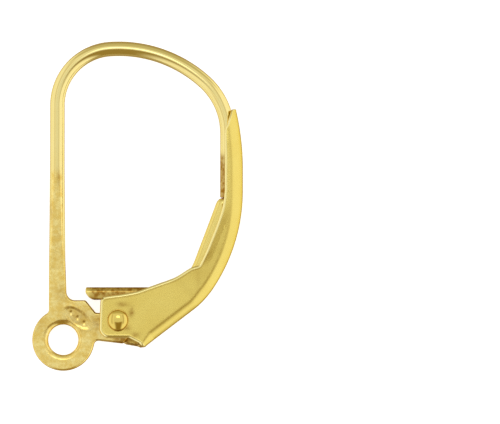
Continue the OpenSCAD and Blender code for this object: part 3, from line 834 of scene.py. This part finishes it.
rise = [(FOLD_LEN, 0), (LOW_R * math.radians(LOW_TURN), LOW_TURN),
        (HIGH_R * math.radians(HIGH_TURN), HIGH_TURN)]
straight_h = along_path(FOLD_FOOT, rise + [(1, 0)], [LEVER_RUN])[0, 1]
lever_rows = rise + [(TIP_H - straight_h, 0), (TIP_LEN, math.degrees(TIP_LEN / TIP_R))]
straight_end = LEVER_RUN + TIP_H - straight_h
print("lever: a path of %.1f mm up its back" % (straight_end + TIP_LEN))

# %% [markdown]
# The foot of each cheek is cut to its own outline. The near one has a straight lower edge that
# turns up at the heel, and the far one shows a little below it.

# %% Cut the foot
FOOT_N, FOOT_ARC_N = 110, 14
FOOT_FRONT = [(2.385, 0.29, 0.32), (2.455, 2.00, 0.04), (2.51, 2.01, 0)]
near_heel = [(4.395, -0.033, 0), (3.775, 0.285, 0.5)]
far_heel = [(4.22, -0.168, 0), (3.58, -0.055, 0.10), (3.25, 0.29, 0.3)]
near = spaced(rounded(near_heel + FOOT_FRONT, FOOT_ARC_N), FOOT_N)
far = spaced(rounded(far_heel + FOOT_FRONT, FOOT_ARC_N), FOOT_N)
# where the rows of the foot start on the back, and how far the far ones lean
BACK_FROM, LEAN, LEAN_END = 0.34, 0.22, 0.92
foot_at = through(np.linspace(0, 1, FOOT_N), [0, 0.02, 0.19, 0.28, 1],
                 [BACK_FROM, 0.44, 0.66, 0.95, 1.16])
foot_lean = LEAN * np.clip((LEAN_END - foot_at) / (LEAN_END - BACK_FROM), 0, 1)

# %% [markdown]
# Four small tables say how the section changes on the way up: how deep the sides stand, how wide
# the fold is and where its wall is pressed flat, how round its corner is, and how the tip
# flattens. They are read off the real lever, a few rows for each change that the eye can see.

# %% Set the lever's tables
CHEEK_H, CHEEK_Z, FOLD_R, FOOT_R, FOLD_FROM = 3.33, 0.615, 0.50, 0.28, 0.9
CHANNEL_R, CHANNEL_DEPTH = 0.795, 0.91

# share of the run up to the channel, depth (0 as in the channel, 1 as at the foot)
CHEEKS = np.array([
    (0.01, 1.00), (0.04, 0.93), (0.08, 0.83), (0.12, 0.74), (0.16, 0.66), (0.21, 0.59),
    (0.27, 0.51), (0.33, 0.43), (0.39, 0.38), (0.44, 0.34), (0.49, 0.28), (0.51, 0.23),
    (0.53, 0.16), (0.55, 0.13), (0.60, 0.13), (0.67, 0.13), (0.73, 0.12), (0.78, 0.10),
    (0.84, 0.07), (0.91, 0.03), (1.00, 0.00)]).T
# share of the run, half-width, how far inside it the flat wall stands
FOLD = np.array([
    (0.01, 0.615, -0.030), (0.33, 0.620, -0.010), (0.45, 0.645, 0.013), (0.55, 0.685, 0.028),
    (0.67, 0.735, 0.045), (0.78, 0.765, 0.045), (0.88, 0.785, 0.034), (1.00, 0.795, 0.016)]).T
# share of the run, radius of the fold's corner
CORNER = np.array([
    (0.01, FOLD_R), (0.33, FOLD_R), (0.45, 0.64), (0.55, 0.69), (0.67, 0.73), (0.78, 0.76),
    (1.00, CHANNEL_R)]).T
# share of the tip, depth, width and thickness as shares of the channel's
TIP = np.array([
    (0.00, 1.00, 1.00, 1.00), (0.25, 0.97, 1.00, 0.95), (0.45, 0.92, 1.00, 0.80),
    (0.62, 0.85, 0.98, 0.65), (0.70, 0.79, 0.96, 0.60), (0.78, 0.64, 0.93, 0.57),
    (0.86, 0.52, 0.88, 0.54), (0.93, 0.41, 0.80, 0.50), (0.97, 0.35, 0.71, 0.47),
    (1.00, 0.29, 0.58, 0.45)]).T

# %% [markdown]
# The grid has four stretches of rows: the foot, the elbow, the straight channel and the tip. Each
# measure is worked out for its own stretch, and one helper puts the four in order.

# %% Work out the section at each row
ELBOW_N, STRAIGHT_N, TIP_N, LEVER_SIDE_N = 150, 20, 70, 30
FAN_END, FAN_SHIFT, TIP_CROWD = 0.4, 1.1, 0.85
FLARE, FLARE_RISE, FLARE_FALL = 0.12, (0.55, 0.66), (0.85, 1.0)
NO_WALL, CHANNEL_WALL = -0.05, 0.016
FOOT_DEPTH = 2.0

share = np.linspace(0.011, 1, ELBOW_N)
elbow_at = LEVER_RUN * share + FAN_SHIFT * np.clip(1 - share / FAN_END, 0, 1)
elbow_rim = CHANNEL_DEPTH + (CHEEK_H - CHANNEL_DEPTH) * through(share, *CHEEKS) - EDGE
elbow_flare = FLARE * smoothstep(share, *FLARE_RISE) * (1 - smoothstep(share, *FLARE_FALL))
straight_at = np.linspace(LEVER_RUN, straight_end, STRAIGHT_N + 2)[1:-1]
tip = np.linspace(0, 1, TIP_N) ** TIP_CROWD
tip_depth, tip_wide, tip_thin = (through(tip, TIP[0], column) for column in TIP[1:])


def in_order(*parts):
    """One value for each row of the lever, from the parts for the foot, the elbow, the straight
    and the tip. A part that is a single number fills its whole stretch."""
    counts = (FOOT_N, ELBOW_N, STRAIGHT_N, TIP_N)
    return np.concatenate([np.broadcast_to(part, n) for part, n in zip(parts, counts)])


lever_t = in_order(SHEET_T, SHEET_T, SHEET_T, SHEET_T * tip_thin)
lever_edge = in_order(EDGE, EDGE, EDGE, EDGE * tip_thin)
half_w = in_order(CHEEK_Z, through(share, FOLD[0], FOLD[1]), CHANNEL_R, CHANNEL_R * tip_wide)
wall = half_w - in_order(NO_WALL, through(share, FOLD[0], FOLD[2]), CHANNEL_WALL, CHANNEL_WALL)
back_r = in_order(through(foot_at, [BACK_FROM, FOLD_FROM], [FOOT_R, FOLD_R]),
                  through(share, *CORNER), CHANNEL_R, CHANNEL_R * tip_wide)
depth = in_order(FOOT_DEPTH, elbow_rim, CHANNEL_DEPTH - EDGE,
                 CHANNEL_DEPTH * tip_depth - EDGE * tip_thin)
flare = in_order(0, elbow_flare, 0, 0)
lean = in_order(foot_lean, 0, 0, 0)
at = in_order(foot_at, elbow_at, straight_at,
              straight_end + (TIP_LEN - lever_edge[-1]) * tip)

# %% [markdown]
# Above the foot the rows still fan out, from the slanting cut to square across the lever. So
# each of them starts further up the back than its rim point, by less and less.

# %% Fold the lever
top_rim = to_left(along_path(FOLD_FOOT, lever_rows, LEVER_RUN * share), elbow_rim)
fan = top_rim[share < FAN_END]
lever_middle = folded(along_path(FOLD_FOOT, lever_rows, at), 1, half_w, back_r, depth, lever_t,
                      LEVER_SIDE_N, lean, np.concatenate([near, fan]),
                      np.concatenate([far, fan]), wall, flare)
points, faces, worn = thick_sheet(lever_middle, lever_t / 2, lever_edge, power=2.8, steps=20,
                                  lip=LIP)
lever = new_piece("folded_lever", points, faces, "lever", "lever", worn)
q = in_drawing(lever)
# brown: painted shade on the far cheek's foot, seen below the near cheek, and a painted shadow
# below and right of the rivet's head; two brown spots above the head, and faint ones near the heel
# and up the elbow
painted_shade_far_foot = (q[:, 2] < 0.28) * (1 - smoothstep(q[:, 1], 0.1, 0.5)) * (q[:, 0] < 4.5)
mark(lever, "brown", painted_shade_far_foot + spots(
    q, (1.0, 3.88, 1.40, 0.13, 0.24), (0.9, 3.45, 1.82, 0.30, 0.13), (0.7, 3.62, 0.60, 0.2, 0.16),
    (0.6, 4.05, 0.25, 0.25, 0.15), (0.2, 7.3, 3.1, 0.12, 0.6)))

# %% [markdown]
# ## The leaf spring
#
# A narrow strip, arched across its width like a carpenter's tape so that it is stiff, lies in
# the channel and bends down between the cheeks. Its tongue presses on the lug, and that snaps
# the lever open or shut. The path runs along the tongue, round the bend, up a straight that
# touches both the bend and the hook, and round the hook to a short level end.

# %% Set out the spring's path
LEAF_T, LEAF_H, LEAF_Z, LEAF_EDGE = 0.15, 0.65, 0.285, 0.068
TONGUE, BEND_X, BEND_R, LUG_GAP = 1.7, 1.95, 2.1, 0.06
HOOK_R, HOOK_X, HOOK_TOP, LEAF_END_X = 0.42, 8.61, 7.322, 9.135

leaf_y = HINGE[1] + LUG_R + LUG_GAP + LEAF_H
hook_c = np.array([HOOK_X, HOOK_TOP - HOOK_R])
bend_c = np.array([HINGE[0] + BEND_X, leaf_y + BEND_R])
span = np.linalg.norm(hook_c - bend_c)
leaf_rise = math.atan2(hook_c[1] - bend_c[1], hook_c[0] - bend_c[0])
leaf_turn = leaf_rise + math.asin((BEND_R + HOOK_R) / span)
turn_deg = math.degrees(leaf_turn)
leaf_run = span * math.cos(leaf_turn - leaf_rise)
leaf_rows = [(TONGUE + BEND_X, 0), (BEND_R * leaf_turn, turn_deg), (leaf_run, 0),
             (HOOK_R * leaf_turn, -turn_deg), (LEAF_END_X - HOOK_X, 0)]
leaf_ends = np.cumsum([length for length, _ in leaf_rows])
print("spring: %.1f mm long" % leaf_ends[-1])

# %% [markdown]
# It is folded by the lever's own functions, with the arch facing the other way. The arch is full
# along the tongue and the bend, and goes shallow at the tongue's end and in the hook. The hook is
# the one place to watch: an arch deeper than the hook's radius would fold into itself.

# %% Bend the spring
LEAF_SIDE_N, FINE_END, FINE_N, LEAF_N = 8, 0.6, 24, 150
bend_end, run_end, leaf_end = leaf_ends[[1, 2, 4]]
ARCH = np.array([
    (0, 0.30), (0.11, 0.62), (0.26, 0.88), (0.44, 1.00), (bend_end, 1.00),
    (bend_end + 0.5 * leaf_run, 0.97), (bend_end + 0.8 * leaf_run, 0.85), (run_end, 0.62),
    (run_end + 0.2, 0.56), (leaf_end, 0.50)]).T
s = np.concatenate([np.linspace(LEAF_EDGE, FINE_END, FINE_N),
                    np.linspace(FINE_END + 0.05, leaf_end - LEAF_EDGE, LEAF_N)])
same = np.ones(len(s))
leaf_middle = folded(along_path((HINGE[0] - TONGUE, leaf_y, 0), leaf_rows, s), -1,
                     LEAF_Z * same, LEAF_Z * same, LEAF_H * through(s, *ARCH) - LEAF_EDGE,
                     LEAF_T * same, LEAF_SIDE_N)
points, faces, _ = thick_sheet(leaf_middle, LEAF_T / 2 * same, LEAF_EDGE * same, power=1.8,
                               steps=10, lip=0.003)
spring = new_piece("leaf_spring", points, faces, "lever", "spring")
q = in_drawing(spring)
# the tongue and the bend, which lie down between the cheeks under the lever, are browned: painted
# shade
mark(spring, "brown", 1.2 * smoothstep(q[:, 0], 1.5, 2.0) * (1 - smoothstep(q[:, 0], 4.6, 6.6)))

# %% [markdown]
# ## The rivet
#
# A short pin through the cheeks and the lug, with a head closed over each cheek by a cupped
# tool, which leaves a low dome that is steep at its rim, and a thin skirt of metal squeezed out
# round it. It is a lathe shape: one profile, from the crown of one head to the crown of the
# other, turned about the hinge.

# %% Set the rivet
HEAD_R, HEAD_H, PIN_R = 0.52, 0.22, 0.35
SKIRT_W, SKIRT_H, SKIRT_DEEP = 0.065, 0.030, 0.012
STEEP_RIM, ROUND_TOP = 2.5, 1.9
DOME_N, SKIRT_N, SKIRT_TAKES_OVER = 22, 9, 3

# the dome is a quarter of a superellipse: r is HEAD_R * sin(a)^(2 / STEEP_RIM), and z is
# HEAD_H * cos(a)^(2 / ROUND_TOP). The skirt falls as sqrt(1 - x^3) over its width.
a = np.linspace(0, math.pi / 2, DOME_N)[:-SKIRT_TAKES_OVER]
skirt = np.linspace(0, 1, SKIRT_N)[1:]
profile_r = np.concatenate([HEAD_R * np.sin(a) ** (2 / STEEP_RIM), HEAD_R + SKIRT_W * skirt,
                            [PIN_R]])
profile_z = CHEEK_Z + np.concatenate([
    HEAD_H * np.cos(a) ** (2 / ROUND_TOP),
    (SKIRT_H + SKIRT_DEEP) * np.sqrt(1 - skirt ** 3) - SKIRT_DEEP, [-SKIRT_DEEP]])
profile_r = np.concatenate([profile_r, profile_r[::-1]])[:, None]
profile_z = np.concatenate([profile_z, -profile_z[::-1]])[:, None]
points = np.stack([HINGE[0] + profile_r * np.cos(angle), HINGE[1] + profile_r * np.sin(angle),
                   profile_z + 0 * angle], -1)
rivet = new_piece("domed_rivet", points.reshape(-1, 3),
                  grid_faces(len(profile_r), AROUND, wrap=True), "lever", "rivet")
q = in_drawing(rivet)
from_pin = np.hypot(*(q[:, :2] - HINGE[:2]).T)
# a brown ring round the foot of each head: painted shade in the crease where the head meets the
# cheek
mark(rivet, "brown", smoothstep(from_pin, 0.48, 0.52) * (1 - smoothstep(from_pin, 0.53, 0.56)))

# %% [markdown]
# ## Gold
#
# The metal is silver with a thick yellow gilding. One recipe serves all the pieces, because gold
# is gold. It is built up in layers: a tone that drifts, stains on what was struck, pale edges
# where it is rubbed, brown where nobody polishes and brown painted shade where parts shade each
# other, and last the roughness and the relief. A photograph of metal would be easier, but it
# would carry its own light, and this has to look right from every side.

# %% The recipe for gold
GLANCING = "#E6C88C"
# the last colour is the brown of tarnish, and also paints shade between and under parts
STAIN_DEEP, STAIN_PALE, RUBBED, TARNISH_AND_SHADE = "#EFCC6A", "#FDE692", "#FCEBA0", "#A07022"
# the size in mm that each noise has on the real piece
DRIFT_MM, STAIN_MM, SPOT_MM, DENT_MM = 0.9, 0.32, 0.22, 0.30
STRUCK_ROUGH, DENT_UM = 0.20, 5


def gold(name, colour, deep, roughness, grain_mm, grain_um):
    """A gold surface. Its tone drifts between two golds. The struck parts have stained patches
    and shallow dents, worn edges are buffed pale, and what is marked brown is darkened in spots:
    the brown of tarnish, and painted shade between and under parts. grain: the size and the
    height of its fine relief."""
    material = bpy.data.materials.new(name)
    material.use_nodes = True
    tree = material.node_tree
    shader = tree.nodes["Principled BSDF"]
    shader.inputs["Metallic"].default_value = 1.0
    shader.inputs["Specular Tint"].default_value = linear(GLANCING)
    where = add(tree, "ShaderNodeTexCoord").outputs["Object"]
    brown, struck, worn = (add(tree, "ShaderNodeAttribute", {"attribute_name": n}).outputs["Fac"]
                           for n in ("brown", "struck", "worn"))

    # the tone of the gilding
    drift = add(tree, "ShaderNodeTexNoise", Vector=where, Scale=1 / (DRIFT_MM * MM), Detail=3.0)
    tone = add(tree, "ShaderNodeMix", {"data_type": "RGBA"}, _0=drift.outputs["Fac"],
               _6=linear(deep), _7=linear(colour))

    # struck parts: two stained golds in soft patches
    die = add(tree, "ShaderNodeTexNoise", Vector=where, Scale=1 / (STAIN_MM * MM), Detail=6.0,
              Roughness=0.7)
    patch = add(tree, "ShaderNodeMapRange", {"interpolation_type": "SMOOTHSTEP"},
                Value=die.outputs["Fac"], From_Min=0.36, From_Max=0.66)
    stained = add(tree, "ShaderNodeMix", {"data_type": "RGBA"}, _0=patch.outputs["Result"],
                  _6=linear(STAIN_DEEP), _7=linear(STAIN_PALE))
    pressed = add(tree, "ShaderNodeMix", {"data_type": "RGBA"}, _0=struck,
                  _6=tone.outputs["Result"], _7=stained.outputs["Result"])

    # worn edges are pale, and tarnish and painted shade are brown in spots
    rubbed = add(tree, "ShaderNodeMix", {"data_type": "RGBA"}, _0=worn,
                 _6=pressed.outputs["Result"], _7=linear(RUBBED))
    speckle = add(tree, "ShaderNodeTexNoise", Vector=where, Scale=1 / (SPOT_MM * MM), Detail=5.0,
                  Roughness=0.62)
    spotted = add(tree, "ShaderNodeMapRange", {"interpolation_type": "SMOOTHSTEP"},
                  Value=speckle.outputs["Fac"], From_Min=0.36, From_Max=0.66, To_Min=0.5)
    tarnish_and_shade = add(tree, "ShaderNodeMath", {"operation": "MULTIPLY"},
                  _0=spotted.outputs["Result"], _1=brown)
    browned = add(tree, "ShaderNodeMix", {"data_type": "RGBA"}, _0=tarnish_and_shade.outputs[0],
                  _6=rubbed.outputs["Result"], _7=linear(TARNISH_AND_SHADE))
    tree.links.new(browned.outputs["Result"], shader.inputs["Base Color"])

    # roughness: the struck parts' own, varied by the grain, and half as rough where worn
    grain = add(tree, "ShaderNodeTexNoise", Vector=where, Scale=1 / (grain_mm * MM), Detail=4.0)
    plain = add(tree, "ShaderNodeMapRange", Value=struck, To_Min=roughness, To_Max=STRUCK_ROUGH)
    vary = add(tree, "ShaderNodeMapRange", Value=grain.outputs["Fac"], From_Min=0.3,
               From_Max=0.7, To_Min=0.8, To_Max=1.2)
    rough = add(tree, "ShaderNodeMath", {"operation": "MULTIPLY"},
                _0=plain.outputs["Result"], _1=vary.outputs["Result"])
    buff = add(tree, "ShaderNodeMapRange", Value=worn, To_Min=1.0, To_Max=0.5)
    finish = add(tree, "ShaderNodeMath", {"operation": "MULTIPLY"}, _0=rough.outputs[0],
                 _1=buff.outputs["Result"])
    tree.links.new(finish.outputs[0], shader.inputs["Roughness"])

    # relief: the die's shallow dents, and the grain over them
    dents = add(tree, "ShaderNodeTexNoise", Vector=where, Scale=1 / (DENT_MM * MM), Detail=2.0)
    dented = add(tree, "ShaderNodeMath", {"operation": "MULTIPLY"}, _0=dents.outputs["Fac"],
                 _1=struck)
    hammered = add(tree, "ShaderNodeBump", Height=dented.outputs[0], Distance=DENT_UM * MM / 1000)
    relief = add(tree, "ShaderNodeBump", Height=grain.outputs["Fac"],
                 Distance=grain_um * MM / 1000, Normal=hammered.outputs["Normal"])
    tree.links.new(relief.outputs["Normal"], shader.inputs["Normal"])
    return material


# %% [markdown]
# What differs from piece to piece is how each surface was made: drawn and struck, folded and
# tumbled, rolled, or burnished by a tool.

# %% Four finishes
# Drawn through a die and polished: nearly a mirror, so the tent shows as long, sharp lines along
# the wire. The struck leg and plate are duller, and look clouded.
drawn_wire = gold("Polished_drawn_gold_wire", "#F8E69C", "#F4DC88", 0.11, 0.12, 0.3)
# Tumbled after folding: a fine satin grain blurs the tent into one even, warm yellow, and only
# the worn lip gleams.
satin_sheet = gold("Satin_folded_gold_sheet", "#F3DC78", "#E9CD66", 0.28, 0.05, 0.45)
# Rolled hard and left so: a little shinier than the lever, so the tent lies along its arch in
# soft streaks.
leaf_strip = gold("Rolled_gold_spring_strip", "#F6E086", "#EFD472", 0.22, 0.05, 0.6)
# Burnished by the tool that closed it: the smoothest of all, so the lamp is a small bright spot
# on it and the tent's dark front a clear band.
domed_head = gold("Burnished_gold_rivet", "#EFD472", "#E6C862", 0.10, 0.06, 0.3)

for piece, material in ((wire, drawn_wire), (plate, drawn_wire), (lever, satin_sheet),
                        (spring, leaf_strip), (rivet, domed_head)):
    piece.data.materials.append(material)
    print(piece.name, "is", material.name)

# %% [markdown]
# ## Measure and finish
#
# The dressed earring has to be the size of the imported one, so both boxes are printed.

# %% Measure and finish
new_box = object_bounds()
for name, box in (("packed", cad_box), ("dressed", new_box)):
    print(name, "size in mm:", [round((box[1][k] - box[0][k]) / MM, 3) for k in range(3)])
